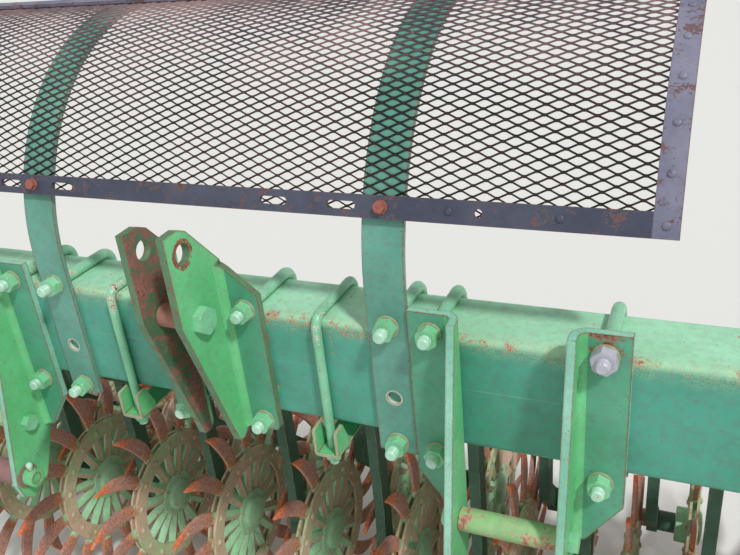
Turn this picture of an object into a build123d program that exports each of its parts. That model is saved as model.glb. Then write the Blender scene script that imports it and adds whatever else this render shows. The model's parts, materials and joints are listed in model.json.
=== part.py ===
from build123d import *
import os
from math import atan2, cos, degrees, pi, radians, sin, sqrt

# Rotary hoe for a three-point hitch, in millimetres.
# It is modelled about the toolbar: X along the bar to the right, Y rearwards from the
# bar's front face, Z up from the bar's top face. save() then sets every piece on the
# ground, with the origin under the middle of the machine.
os.makedirs("parts", exist_ok=True)

# Toolbar: a 4 x 6 in rectangular tube, 6 ft long
BAR_LENGTH = 1829.0
BAR_DEPTH = 101.6
BAR_HEIGHT = 152.4
BAR_WALL = 6.35
BAR_CORNER = 9.0
CAP_THICK = 5.0
SEAT_GAP = 0.3

# Toothed wheels
WHEEL_RADIUS = 243.0
TOOTH_COUNT = 16
WHEEL_PITCH = 177.8
FRONT_WHEELS = 9
REAR_WHEELS = 10
ROW_SPACING = 203.2
FRONT_HUB_Y = 231.0
HUB_DROP = 607.0
SPOKE_THICK = 6.0
RING_OUTER = 132.0
RING_WIDTH = 31.0
RING_THICK = 5.0
HUB_DISC_RADIUS = 46.0
HUB_DISC_HALF = 8.0
HUB_RADIUS = 32.0
HUB_LEFT = 28.0
HUB_RIGHT = 17.0
SPINDLE_RADIUS = 10.0
SPINDLE_CLEARANCE = 0.05
HUB_BORE_FLOOR = 6.0
# One spoke and its tooth, from the hub out. Places are the distance out from the hub
# and the distance ahead of the spoke's middle line; the tip hooks the way it rolls.
SPOKE_NOTCH_RADIUS = 49.0
SPOKE_HALF_WIDTH = 11.0
TOOTH_ROOT = 136.0
TOOTH_BACK = (203.0, -1.0)
TOOTH_FRONT = (182.0, 18.5)
TOOTH_TIP_AHEAD = 38.0

# Brackets that stand on the toolbar
TOP_X = 12.0
PLATE_THICK = 10.0
BEND_INNER = 10.0
FLANGE_CORNER = 8.0
MAST_GAP = 46.0
MAST_FLANGE = 50.0
# Outlines of the webs as Y and Z, and of the mast's flange as X out from its web and Z
MAST_WEB = [(0, 70), (-56, 134), (-72, 141), (-98, 140), (-98, 24), (-34, -184),
            (-24, -187), (0, -176)]
MAST_FLANGE_TOP = 70.0
MAST_FLANGE_EAR = 29.0
MAST_FOOT = -176.0
MAST_HOLE_RADIUS = 13.0
MAST_HOLE = (-69.0, 110.0)
MAST_SPACER = (-62.0, 19.0)
CLEVIS_X = 416.5
CLEVIS_GAP = 120.0
CLEVIS_FLANGE = 54.0
CLEVIS_TOP = 35.0
CLEVIS_FLANGE_END = -192.0
CLEVIS_BEND_END = -252.0
CLEVIS_NOSE = 98.0
CLEVIS_BEND_X = 12.0
CLEVIS_WEB = [(0, CLEVIS_TOP), (-30, CLEVIS_TOP), (-CLEVIS_NOSE, -312), (-92, -338),
              (-76, -352), (-65, -347), (-40, -333), (-10, -270), (0, CLEVIS_BEND_END)]
CLEVIS_SPACER = (-45.0, -226.0)
SPACER_RADIUS = 14.8
SPACER_BOLT_RADIUS = 8.0
HITCH_PIN = (-76.0, -307.0)
HITCH_PIN_RADIUS = 14.3
HITCH_SHANK_RADIUS = 15.0
HITCH_SLEEVE_RADIUS = 18.25
HITCH_PIN_END = 22.0
SLEEVE_END_GAP = 1.0
BOLT_END = 12.0

# Rods that clamp the brackets
ROD_RADIUS = 7.94
HOOP_ROD_RADIUS = 6.35
ROD_FRONT = 27.0
HOLE_CLEARANCE = 0.6
MAST_ROD_X = 62.0
CLEVIS_ROD_X = 97.0
HOOP_SPREAD = 158.5
OUTER_HOOP_X = 700.0

# Shield of expanded metal on two straps
STRAP_WIDTH = 50.8
STRAP_THICK = 6.35
STRAP_SPREAD = 254.0
STRAP_END = -175.0
STRAP_HOLE = -93.0
STRAP_HOLE_RADIUS = 9.0
SHIELD_RADIUS = 300.0
SHIELD_BEND_Z = 43.0
SHIELD_HALF = 563.0
SHIELD_START = 18.3
SHIELD_END = 88.0
SHIELD_BAR = 25.4
SHIELD_BAR_THICK = 4.8
SHIELD_SLOT_WIDTH = 9.0
SHIELD_SLOT_LENGTH = 36.0
SHIELD_SLOT_XS = [-282.0, -191.0, 130.0, 217.0]
SHIELD_HOLE_X = 376.5
MESH_THICK = 2.5
MESH_INSET = 4.0
MESH_INSET_TURN = 1.0
# Expanded metal, drawn with fewer and larger diamonds than the real half-inch mesh
MESH_COLUMNS = 14
MESH_ROWS = 22
MESH_STRAND = 4.5

# Pivot shaft and sprung arms under the toolbar
CARRIER_FRONT = 52.0
CARRIER_DEPTH = 38.0
CARRIER_HEIGHT = 16.0
CARRIER_DROP = 18.5
CARRIER_OVERHANG = 40.0
SADDLE_THICK = 6.0
SADDLE_WIDTH = 36.0
SADDLE_REACH = 25.0
# Outline of an ear above the saddle's base, from its front corner round, as Y and Z
SADDLE_EAR = [(-SADDLE_REACH, -151.0), (-4.0, -150.0), (10.0, -183.0)]
SADDLE_EAR_FOOT = 6.0
HOOP_ROD_END = 20.0
SHAFT_RADIUS = 16.0
SHAFT_Y = 165.0
SHAFT_DROP = 212.0
SHAFT_CLEARANCE = 0.1
ARM_OFFSET = 66.0
ARM_THICK = 18.0
ARM_DEPTH = 32.0
ARM_EYE_RADIUS = 27.0
SPINDLE_EYE_RADIUS = 22.0
SPINDLE_COLLAR_RADIUS = 18.0
SPINDLE_END_GAP = 7.0
# Bends of the arms, from the shaft to the hub, as Y and Z
FRONT_SHOULDER = [(205, -262), (238, -330), (238, -520)]
REAR_SHOULDER = [(300, -255), (355, -330), (355, -520)]
SPRING_RADIUS = 27.0
SPRING_BORE_RADIUS = 17.5
SPRING_LENGTH = 44.0
HANGER_THICK = 8.0
HANGER_COUNT = 7
HANGER_OFFSET = 62.5
HANGER_EYE_RADIUS = 31.0
HANGER_FOOT = 60.0
HANGER_NECK = 20.0
HANGER_HEEL = 8.0
SHAFT_OVERHANG = 45.0

# Parking stands
STAND_X = 830.0
STAND_TUBE = 44.45
STAND_WALL = 4.0
SOCKET_WALL = 6.0
SOCKET_LENGTH = 190.0
SOCKET_GAP = 0.5
STAND_RISE = 60.0
FOOT_SIZE = 90.0
FOOT_THICK = 10.0
STAND_PLATE_THICK = 8.0
STAND_PLATE_WIDTH = 130.0
STAND_PLATE_MARGIN = 15.5
STAND_ROD_X = 46.0

# Places that follow from the sizes
HALF_STEP = pi / TOOTH_COUNT
WHEEL_REACH = WHEEL_RADIUS * cos(HALF_STEP)
REAR_HUB_Y = FRONT_HUB_Y + ROW_SPACING
GROUND = -HUB_DROP - WHEEL_REACH
MIDDLE_Y = (REAR_HUB_Y + WHEEL_REACH - CLEVIS_NOSE) / 2
FRONT_XS = [WHEEL_PITCH * (i - (FRONT_WHEELS - 1) / 2) for i in range(FRONT_WHEELS)]
REAR_XS = [WHEEL_PITCH * (i - (REAR_WHEELS - 1) / 2) for i in range(REAR_WHEELS)]
ARM_XS = sorted(x - ARM_OFFSET for x in FRONT_XS + REAR_XS)
HOOP_XS = [-OUTER_HOOP_X, TOP_X - HOOP_SPREAD, TOP_X + HOOP_SPREAD, OUTER_HOOP_X]
STRAP_XS = [TOP_X - STRAP_SPREAD, TOP_X + STRAP_SPREAD]
CLEVIS_ROD_XS = [side * CLEVIS_X + hand * CLEVIS_ROD_X for side in (-1, 1) for hand in (-1, 1)]
CARRIER_TOP = -BAR_HEIGHT - CARRIER_DROP
CARRIER_BOTTOM = CARRIER_TOP - CARRIER_HEIGHT
ROD_HIGH = ROD_RADIUS + SEAT_GAP
ROD_LOW = -BAR_HEIGHT - ROD_HIGH


def save(shape, name):
    """Sets a piece on the ground and writes it."""
    export_step(Pos(0, -MIDDLE_Y, -GROUND) * shape, f"parts/{name}.step")


def slab(face, low, high):
    """A face drawn in Y and Z, as a plate from X low to X high."""
    return Pos(low, 0, 0) * extrude(Plane.YZ * face, high - low, dir=(1, 0, 0))


def outline(*points):
    return make_face(Polyline(*points, close=True))


def rod_along_x(radius, place, low, high):
    """A round bar along X, about a place given as Y and Z."""
    return slab(Pos(place[0], place[1]) * Circle(radius), low, high)


def block(low, high):
    """A box between two corners."""
    size = [b - a for a, b in zip(low, high)]
    middle = [(a + b) / 2 for a, b in zip(low, high)]
    return Pos(*middle) * Box(*size)


def bent_rod(points, radius):
    """A rod through the points, bent to hug the toolbar's rounded corners."""
    path = FilletPolyline(*points, radius=BAR_CORNER + SEAT_GAP + radius)
    section = Plane(origin=path @ 0, z_dir=path % 0) * Circle(radius)
    return sweep(section, path=path)


def union(parts):
    whole = parts[0]
    for part in parts[1:]:
        whole = whole + part
    return whole


def toolbar():
    section = RectangleRounded(BAR_DEPTH, BAR_HEIGHT, BAR_CORNER)
    inside = RectangleRounded(BAR_DEPTH - 2 * BAR_WALL, BAR_HEIGHT - 2 * BAR_WALL,
                              BAR_CORNER - BAR_WALL)
    face = Pos(BAR_DEPTH / 2, -BAR_HEIGHT / 2) * (section - inside)
    return slab(face, -BAR_LENGTH / 2, BAR_LENGTH / 2)


def end_caps():
    face = Pos(BAR_DEPTH / 2, -BAR_HEIGHT / 2) * RectangleRounded(
        BAR_DEPTH, BAR_HEIGHT, BAR_CORNER)
    right = slab(face, BAR_LENGTH / 2, BAR_LENGTH / 2 + CAP_THICK)
    return Compound([right, mirror(right, about=Plane.YZ)])


def rod_holes(plate, x, thick):
    """Cuts the two holes for a clamping rod through a plate on the bar's front face."""
    for z in (ROD_HIGH, ROD_LOW):
        hole = Pos(x, 0, z) * Rot(90, 0, 0) * Cylinder(ROD_RADIUS + HOLE_CLEARANCE, 4 * thick)
        plate = plate - hole
    return plate


def bend(plate, x):
    """Rounds a plate's bend, whose outer corner runs up at that X behind its web."""
    inner_place = Vector(x + PLATE_THICK, -PLATE_THICK, 0)
    inner = [edge for edge in plate.edges().filter_by(Axis.Z)
             if (edge.center() - inner_place - Vector(0, 0, edge.center().Z)).length < 0.01]
    reach = BEND_INNER + PLATE_THICK
    corner = (Pos(x + reach / 2, -reach / 2) * Rectangle(reach, reach)
              - Pos(x + reach, -reach) * Circle(reach))
    return fillet(inner, BEND_INNER) - extrude(corner, 3 * BAR_HEIGHT, both=True)


def mast_plate():
    """The right-hand mast plate: a web that leans over the bar's front, and its flange."""
    web_left = MAST_GAP / 2
    web_right = web_left + PLATE_THICK
    flange_right = web_right + MAST_FLANGE
    flange = outline((web_left, MAST_FLANGE_TOP), (web_right, MAST_FLANGE_TOP),
                     (flange_right, MAST_FLANGE_EAR), (flange_right, MAST_FOOT),
                     (web_left, MAST_FOOT))
    flange = fillet(flange.vertices().sort_by(Axis.X)[-2:].sort_by(Axis.Y)[:1], FLANGE_CORNER)
    plate = slab(outline(*MAST_WEB), web_left, web_right)
    plate = bend(plate + extrude(Plane.XZ * flange, PLATE_THICK, dir=(0, -1, 0)), web_left)
    for place, radius in ((MAST_HOLE, MAST_HOLE_RADIUS),
                          (MAST_SPACER, SPACER_BOLT_RADIUS + HOLE_CLEARANCE)):
        plate = plate - rod_along_x(radius, place, web_left - 1, web_right + 1)
    return rod_holes(plate, MAST_ROD_X, PLATE_THICK)


def clevis_plate():
    """The right-hand plate of a lower hitch clevis, about the clevis's middle."""
    web_left = CLEVIS_GAP / 2
    web_right = web_left + PLATE_THICK
    flange_right = web_right + CLEVIS_FLANGE
    flange = outline((web_left, CLEVIS_TOP), (flange_right, CLEVIS_TOP),
                     (flange_right, CLEVIS_FLANGE_END),
                     (web_right + CLEVIS_BEND_X, CLEVIS_BEND_END),
                     (web_left, CLEVIS_BEND_END))
    plate = slab(outline(*CLEVIS_WEB), web_left, web_right)
    plate = bend(plate + extrude(Plane.XZ * flange, PLATE_THICK, dir=(0, -1, 0)), web_left)
    for place, radius in ((HITCH_PIN, HITCH_SHANK_RADIUS + SEAT_GAP),
                          (CLEVIS_SPACER, SPACER_BOLT_RADIUS + HOLE_CLEARANCE)):
        plate = plate - rod_along_x(radius, place, web_left - 1, web_right + 1)
    return rod_holes(plate, CLEVIS_ROD_X, PLATE_THICK)


def pair(shape):
    return [shape, mirror(shape, about=Plane.YZ)]


def spacer(place, gap, radius):
    """A tube between two plates, on a bolt that runs through both."""
    tube = rod_along_x(radius, place, -gap / 2 + SEAT_GAP, gap / 2 - SEAT_GAP)
    reach = gap / 2 + PLATE_THICK + BOLT_END
    return tube + rod_along_x(SPACER_BOLT_RADIUS, place, -reach, reach)


def hitch_pin():
    """The lower hitch pin: its sleeve, its shank in the plates and its free ends."""
    shank_half = CLEVIS_GAP / 2 + PLATE_THICK
    reach = shank_half + HITCH_PIN_END
    pin = rod_along_x(HITCH_PIN_RADIUS, HITCH_PIN, -reach, reach)
    pin = pin + rod_along_x(HITCH_SHANK_RADIUS, HITCH_PIN, -shank_half, shank_half)
    sleeve_half = CLEVIS_GAP / 2 - SLEEVE_END_GAP
    return pin + rod_along_x(HITCH_SLEEVE_RADIUS, HITCH_PIN, -sleeve_half, sleeve_half)


def bracket_rod(x):
    """A U-bolt round the toolbar, its legs over and under the bar and nuts in front."""
    rear = BAR_DEPTH + ROD_HIGH
    points = [(x, -ROD_FRONT, ROD_HIGH), (x, rear, ROD_HIGH), (x, rear, ROD_LOW),
              (x, -ROD_FRONT, ROD_LOW)]
    return bent_rod(points, ROD_RADIUS)


def hoop(x):
    """A U-bolt over the toolbar, its legs down the front and back into the saddle."""
    front = -HOOP_ROD_RADIUS - SEAT_GAP
    rear = BAR_DEPTH - front
    end = CARRIER_BOTTOM - SADDLE_THICK - HOOP_ROD_END
    points = [(x, front, end), (x, front, -front), (x, rear, -front), (x, rear, end)]
    return bent_rod(points, HOOP_ROD_RADIUS)


def saddle(x):
    """A channel under the carrier, with pointed ears up to the toolbar at both ends."""
    top = CARRIER_BOTTOM - SEAT_GAP
    bottom = top - SADDLE_THICK
    half = SADDLE_WIDTH / 2
    ear = outline((-SADDLE_REACH, bottom), *SADDLE_EAR, (SADDLE_EAR_FOOT, bottom))
    front = [slab(ear, x + left, x + left + SADDLE_THICK)
             for left in (-half, half - SADDLE_THICK)]
    rear = [mirror(part, about=Plane.XZ.offset(-BAR_DEPTH / 2)) for part in front]
    base = block((x - half, -SADDLE_REACH, bottom),
                 (x + half, BAR_DEPTH + SADDLE_REACH, top))
    whole = union([base] + front + rear)
    for y in (-HOOP_ROD_RADIUS - SEAT_GAP, BAR_DEPTH + HOOP_ROD_RADIUS + SEAT_GAP):
        hole = Cylinder(HOOP_ROD_RADIUS + HOLE_CLEARANCE, 6 * SADDLE_THICK)
        whole = whole - Pos(x, y, bottom) * hole
    return whole


def strap(x):
    """A flat bar up the toolbar's front face that bends back over the wheels."""
    outer = SHIELD_RADIUS + STRAP_THICK / 2
    inner = SHIELD_RADIUS - STRAP_THICK / 2
    sector = shield_band(inner, outer, 0, SHIELD_END)
    upright = Pos(-STRAP_THICK / 2, (SHIELD_BEND_Z + STRAP_END) / 2) * Rectangle(
        STRAP_THICK, SHIELD_BEND_Z - STRAP_END)
    bar = slab(sector + upright, x - STRAP_WIDTH / 2, x + STRAP_WIDTH / 2)
    bar = rod_holes(bar, x, PLATE_THICK)
    hole = Cylinder(STRAP_HOLE_RADIUS, 4 * STRAP_THICK)
    return bar - Pos(x, 0, STRAP_HOLE) * Rot(90, 0, 0) * hole


def shield_place(radius, angle):
    """Y and Z at a radius of the shield's curve and an angle up from where it starts."""
    turn = radians(angle)
    return (SHIELD_RADIUS - STRAP_THICK / 2 - radius * cos(turn),
            SHIELD_BEND_Z + radius * sin(turn))


def shield_band(inner, outer, start, end):
    """An arc band of the shield's section; angles from the vertical stretch, in degrees."""
    at = shield_place
    half = (start + end) / 2
    edges = [
        ThreePointArc(at(outer, start), at(outer, half), at(outer, end)),
        Line(at(outer, end), at(inner, end)),
        ThreePointArc(at(inner, end), at(inner, half), at(inner, start)),
        Line(at(inner, start), at(outer, start)),
    ]
    return make_face(Curve() + edges)


def shield_plane(radius, angle):
    """A plane that touches the shield's curve: its x along the bar, its z outwards."""
    turn = radians(angle)
    return Plane(origin=(0, *shield_place(radius, angle)), x_dir=(1, 0, 0),
                 z_dir=(0, -cos(turn), sin(turn)))


def shield_levels():
    """Radii of the mesh's and the bars' under and upper faces."""
    mesh_in = SHIELD_RADIUS + STRAP_THICK / 2 + SEAT_GAP
    mesh_out = mesh_in + MESH_THICK
    bar_in = mesh_out + SEAT_GAP
    return mesh_in, mesh_out, bar_in, bar_in + SHIELD_BAR_THICK


def shield_frame():
    """Four flat bars round the mesh's edges, the lower one punched with slots."""
    bar_in, bar_out = shield_levels()[2:]
    step = degrees(SHIELD_BAR / SHIELD_RADIUS)
    left, right = TOP_X - SHIELD_HALF, TOP_X + SHIELD_HALF
    bars = [
        slab(shield_band(bar_in, bar_out, SHIELD_START, SHIELD_START + step), left, right),
        slab(shield_band(bar_in, bar_out, SHIELD_END - step, SHIELD_END), left, right),
    ]
    side = shield_band(bar_in, bar_out, SHIELD_START, SHIELD_END)
    bars.append(slab(side, left, left + SHIELD_BAR))
    bars.append(slab(side, right - SHIELD_BAR, right))
    frame = union(bars)
    punch = shield_plane((bar_in + bar_out) / 2, SHIELD_START + step / 2)
    slot = SlotOverall(SHIELD_SLOT_LENGTH, SHIELD_SLOT_WIDTH)
    cuts = [(x, slot) for x in SHIELD_SLOT_XS] + [(SHIELD_HOLE_X, Circle(SHIELD_SLOT_WIDTH / 2))]
    for x, shape in cuts:
        frame = frame - extrude(punch * Pos(x, 0) * shape, SHIELD_BAR_THICK, both=True)
    return frame


def shield_mesh():
    """Expanded metal: zigzag strands side by side, joined where their points meet."""
    mesh_in, mesh_out = shield_levels()[:2]
    half_width = SHIELD_HALF - MESH_INSET
    start, end = SHIELD_START + MESH_INSET_TURN, SHIELD_END - MESH_INSET_TURN
    row_turn = (end - start) / MESH_ROWS
    rise = mesh_in * radians(row_turn) / 2
    reach = rise + MESH_STRAND / 2
    thick = sqrt(mesh_out ** 2 - reach ** 2) - mesh_in
    step = half_width / MESH_COLUMNS
    strands = []
    for row in range(MESH_ROWS):
        zigzag = [(-half_width + step * i, rise * (-1) ** (row + i))
                  for i in range(2 * MESH_COLUMNS + 1)]
        upper = [(x, y + MESH_STRAND / 2) for x, y in zigzag]
        lower = [(x, y - MESH_STRAND / 2) for x, y in reversed(zigzag)]
        plane = shield_plane(mesh_in, start + row_turn * (row + 0.5))
        strands.append(extrude(plane * Pos(TOP_X, 0) * outline(*upper, *lower), thick))
    return strands[0].fuse(*strands[1:])


def wheel_star():
    """The spokes and teeth of one wheel, as a flat outline in Y and Z about its hub."""
    tip = (sqrt(WHEEL_RADIUS ** 2 - TOOTH_TIP_AHEAD ** 2), TOOTH_TIP_AHEAD)
    tip_turn = atan2(tip[1], tip[0])
    notch = (SPOKE_NOTCH_RADIUS * cos(HALF_STEP), SPOKE_NOTCH_RADIUS * sin(HALF_STEP))
    edges = []
    for tooth in range(TOOTH_COUNT):
        turn = HALF_STEP * (2 * tooth + 1) - tip_turn

        def at(place):
            out, ahead = place
            return (out * cos(turn) - ahead * sin(turn), out * sin(turn) + ahead * cos(turn))

        before, after = at((notch[0], -notch[1])), at(notch)
        back_root = at((TOOTH_ROOT, -SPOKE_HALF_WIDTH))
        front_root = at((TOOTH_ROOT, SPOKE_HALF_WIDTH))
        edges += [Line(before, back_root),
                  ThreePointArc(back_root, at(TOOTH_BACK), at(tip)),
                  ThreePointArc(at(tip), at(TOOTH_FRONT), front_root),
                  Line(front_root, after)]
    return make_face(Curve() + edges)


def wheel(x, y):
    """One wheel: hub and toothed spokes in one, and the ring that ties the spokes."""
    half = SPOKE_THICK / 2
    star = slab(wheel_star(), -half, half)
    disc = slab(RegularPolygon(HUB_DISC_RADIUS, TOOTH_COUNT), -HUB_DISC_HALF, HUB_DISC_HALF)
    hub = slab(RegularPolygon(HUB_RADIUS, TOOTH_COUNT), -HUB_LEFT, HUB_RIGHT)
    body = star + disc + hub
    body = body - rod_along_x(SPINDLE_RADIUS + SPINDLE_CLEARANCE, (0, 0),
                              -HUB_LEFT - 1, HUB_RIGHT - HUB_BORE_FLOOR)
    band = (RegularPolygon(RING_OUTER, TOOTH_COUNT)
            - RegularPolygon(RING_OUTER - RING_WIDTH, TOOTH_COUNT))
    ring = slab(band, half + SEAT_GAP, half + SEAT_GAP + RING_THICK)
    return Pos(x, y, -HUB_DROP) * Compound([body, ring])


def arm_outline(hub_y, shoulder):
    """A goose-neck bar from the pivot shaft back and down to a hub, in Y and Z."""
    start = (SHAFT_Y, -SHAFT_DROP)
    end = (hub_y, -HUB_DROP)
    path = [start, *shoulder, end]
    half = ARM_DEPTH / 2
    face = None
    for (ay, az), (by, bz) in zip(path, path[1:]):
        length = sqrt((by - ay) ** 2 + (bz - az) ** 2)
        turn = degrees(atan2(bz - az, by - ay))
        bar = Pos((ay + by) / 2, (az + bz) / 2) * Rot(0, 0, turn) * Rectangle(length, 2 * half)
        face = bar if face is None else face + bar
    for y, z in shoulder:
        face = face + Pos(y, z) * Circle(half)
    face = face + Pos(*start) * Circle(ARM_EYE_RADIUS) + Pos(*end) * Circle(SPINDLE_EYE_RADIUS)
    return face - Pos(*start) * Circle(SHAFT_RADIUS + SHAFT_CLEARANCE)


def arm(wheel_x, hub_y, shoulder):
    """An arm beside its wheel, with the spindle that carries the hub."""
    middle = wheel_x - ARM_OFFSET
    bar = slab(arm_outline(hub_y, shoulder), middle - ARM_THICK / 2, middle + ARM_THICK / 2)
    hub = (hub_y, -HUB_DROP)
    collar = rod_along_x(SPINDLE_COLLAR_RADIUS, hub, middle, wheel_x - HUB_LEFT - SEAT_GAP)
    spindle = rod_along_x(SPINDLE_RADIUS, hub, middle, wheel_x + HUB_RIGHT - SPINDLE_END_GAP)
    return bar + collar + spindle


def springs():
    """A torsion spring on the shaft beside each arm, plain tubes here."""
    low = ARM_THICK / 2 + SEAT_GAP
    ring = Circle(SPRING_RADIUS) - Circle(SPRING_BORE_RADIUS)
    coil = slab(Pos(SHAFT_Y, -SHAFT_DROP) * ring, low, low + SPRING_LENGTH)
    return Compound([Pos(x, 0, 0) * coil for x in ARM_XS])


def pivot_shaft():
    return rod_along_x(SHAFT_RADIUS, (SHAFT_Y, -SHAFT_DROP), ARM_XS[0] - SHAFT_OVERHANG,
                       ARM_XS[-1] + HANGER_OFFSET + HANGER_THICK)


def hanger_xs():
    """Hangers beside the first arm, the last arm and evenly between."""
    step = (len(ARM_XS) - 1) // (HANGER_COUNT - 1)
    return [x + HANGER_OFFSET for x in ARM_XS[::step]]


def shaft_hangers():
    """Plates under the carrier that hold the pivot shaft."""
    top = CARRIER_BOTTOM - SEAT_GAP
    eye = Pos(SHAFT_Y, -SHAFT_DROP) * Circle(HANGER_EYE_RADIUS)
    bottom = -SHAFT_DROP - HANGER_EYE_RADIUS
    bar = outline((CARRIER_FRONT, top), (CARRIER_FRONT + CARRIER_DEPTH, top),
                  (SHAFT_Y, -SHAFT_DROP + HANGER_NECK), (SHAFT_Y, bottom),
                  (SHAFT_Y - HANGER_FOOT, bottom), (CARRIER_FRONT, top - HANGER_HEEL))
    face = bar + eye - Pos(SHAFT_Y, -SHAFT_DROP) * Circle(SHAFT_RADIUS + SHAFT_CLEARANCE)
    half = HANGER_THICK / 2
    return Compound([slab(face, x - half, x + half) for x in hanger_xs()])


def arm_carrier():
    """The flat bar that the saddles hold under the toolbar."""
    low, high = ARM_XS[0] - SHAFT_OVERHANG, hanger_xs()[-1] + CARRIER_OVERHANG
    return block((low, CARRIER_FRONT, CARRIER_BOTTOM),
                 (high, CARRIER_FRONT + CARRIER_DEPTH, CARRIER_TOP))


def stand_y():
    return -STAND_PLATE_THICK - SOCKET_WALL - SOCKET_GAP - STAND_TUBE / 2


def stand_socket():
    """The right-hand stand's square socket on its plate against the toolbar."""
    outer = STAND_TUBE + 2 * (SOCKET_GAP + SOCKET_WALL)
    inner = STAND_TUBE + 2 * SOCKET_GAP
    low = -BAR_HEIGHT / 2 - SOCKET_LENGTH / 2
    tube = extrude(Rectangle(outer, outer) - Rectangle(inner, inner), SOCKET_LENGTH)
    tube = Pos(STAND_X, stand_y(), low) * tube
    half = STAND_PLATE_WIDTH / 2
    plate = block((STAND_X - half, -STAND_PLATE_THICK, ROD_LOW - STAND_PLATE_MARGIN),
                  (STAND_X + half, 0, ROD_HIGH + STAND_PLATE_MARGIN))
    return tube + rod_holes(plate, STAND_X - STAND_ROD_X, STAND_PLATE_THICK)


def stand_leg():
    """The right-hand stand's square leg and its foot on the ground."""
    y = stand_y()
    tube = Rectangle(STAND_TUBE, STAND_TUBE) - Rectangle(
        STAND_TUBE - 2 * STAND_WALL, STAND_TUBE - 2 * STAND_WALL)
    leg = Pos(STAND_X, y, GROUND + FOOT_THICK) * extrude(
        tube, STAND_RISE - GROUND - FOOT_THICK)
    foot = Pos(STAND_X, y, GROUND + FOOT_THICK / 2) * Box(FOOT_SIZE, FOOT_SIZE, FOOT_THICK)
    return leg + foot


def at_clevises(shape):
    return [Pos(side * CLEVIS_X, 0, 0) * shape for side in (-1, 1)]


def write_all():
    save(toolbar(), "toolbar")
    save(end_caps(), "toolbar_end_caps")
    save(Pos(TOP_X, 0, 0) * Compound(pair(mast_plate())), "mast_plates")
    save(Pos(TOP_X, 0, 0) * spacer(MAST_SPACER, MAST_GAP, SPACER_RADIUS), "mast_spacer")
    for part, name in zip(at_clevises(Compound(pair(clevis_plate()))), ("left", "right")):
        save(part, f"{name}_clevis_plates")
    save(Compound(at_clevises(spacer(CLEVIS_SPACER, CLEVIS_GAP, SPACER_RADIUS))),
         "clevis_spacers")
    save(Compound(at_clevises(hitch_pin())), "lower_hitch_pins")
    bracket_xs = (CLEVIS_ROD_XS + STRAP_XS + [TOP_X - MAST_ROD_X, TOP_X + MAST_ROD_X]
                  + [-STAND_X + STAND_ROD_X, STAND_X - STAND_ROD_X])
    save(Compound([bracket_rod(x) for x in bracket_xs]), "bracket_u_bolts")
    save(Compound([hoop(x) for x in HOOP_XS]), "hoop_u_bolts")
    save(Compound([saddle(x) for x in HOOP_XS]), "hoop_saddles")
    save(Compound([strap(x) for x in STRAP_XS]), "shield_straps")
    save(shield_frame(), "shield_frame")
    save(shield_mesh(), "shield_mesh")
    save(arm_carrier(), "arm_carrier")
    save(pivot_shaft(), "pivot_shaft")
    save(shaft_hangers(), "shaft_hangers")
    for xs, hub_y, shoulder, row in ((FRONT_XS, FRONT_HUB_Y, FRONT_SHOULDER, "front"),
                                     (REAR_XS, REAR_HUB_Y, REAR_SHOULDER, "rear")):
        save(Compound([arm(x, hub_y, shoulder) for x in xs]), f"{row}_arms")
    save(springs(), "arm_springs")
    save(Compound(pair(stand_socket())), "stand_sockets")
    for part, name in zip(pair(stand_leg()), ("right", "left")):
        save(part, f"{name}_stand")
    for xs, y, row in ((FRONT_XS, FRONT_HUB_Y, "front"), (REAR_XS, REAR_HUB_Y, "rear")):
        for number, x in enumerate(xs, 1):
            save(wheel(x, y), f"{row}_wheel_{number}")


write_all()
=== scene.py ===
import json
from math import atan2, cos, degrees, pi, radians, sin, sqrt

import bmesh
import bpy
from mathutils import Matrix, Vector


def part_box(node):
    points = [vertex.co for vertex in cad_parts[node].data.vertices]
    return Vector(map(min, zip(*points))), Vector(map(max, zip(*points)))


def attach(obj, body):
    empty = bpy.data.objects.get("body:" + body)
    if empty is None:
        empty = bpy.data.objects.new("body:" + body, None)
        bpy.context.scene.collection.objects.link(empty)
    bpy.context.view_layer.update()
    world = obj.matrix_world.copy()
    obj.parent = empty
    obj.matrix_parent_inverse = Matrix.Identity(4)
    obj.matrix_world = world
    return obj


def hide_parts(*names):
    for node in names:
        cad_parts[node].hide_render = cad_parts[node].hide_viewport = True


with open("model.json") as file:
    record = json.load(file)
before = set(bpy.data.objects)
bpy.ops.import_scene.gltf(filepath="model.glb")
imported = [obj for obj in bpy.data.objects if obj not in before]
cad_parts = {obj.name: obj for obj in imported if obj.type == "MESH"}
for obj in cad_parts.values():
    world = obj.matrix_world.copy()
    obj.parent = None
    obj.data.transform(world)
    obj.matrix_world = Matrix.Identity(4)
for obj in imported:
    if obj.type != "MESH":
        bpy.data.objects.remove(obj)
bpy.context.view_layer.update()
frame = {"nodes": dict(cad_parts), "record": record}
scene = bpy.context.scene

# Sizes of the machine, in millimetres. X runs along the bar from its middle, Y back from
# its front face and Z up from its top.
MM = 0.001
SEAT_GAP = 0.3
TOP_X = 12.0
PLATE = 10.0
SOCKET_PLATE = 8.0
BAR_HALF = 914.5
BAR_DEPTH = 101.6
BAR_HEIGHT = 152.4
BAR_CORNER = 9.0
ROD_RADIUS = 7.94
ROD_FRONT = 36.0
NUT_ACROSS = 23.8
NUT_HEIGHT = 13.5
HOOP_RADIUS = 6.35
HOOP_END = 20.0
SADDLE_BOTTOM = -193.2
STRAP_THICK = 6.35
CLEVIS_X = 416.5
MAST_HALF_GAP = 23.0
CLEVIS_HALF_GAP = 60.0
SPACER_RADIUS = 14.8
MAST_ROD_XS = [TOP_X - 62.0, TOP_X + 62.0]
STRAP_XS = [TOP_X - 254.0, TOP_X + 254.0]
CLEVIS_ROD_XS = [side * CLEVIS_X + hand * 97.0 for side in (-1, 1) for hand in (-1, 1)]
ZINC_ROD_X = CLEVIS_ROD_XS[3]
STAND_ROD_XS = [-784.0, 784.0]
HOOP_XS = [-700.0, TOP_X - 158.5, TOP_X + 158.5, 700.0]
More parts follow.
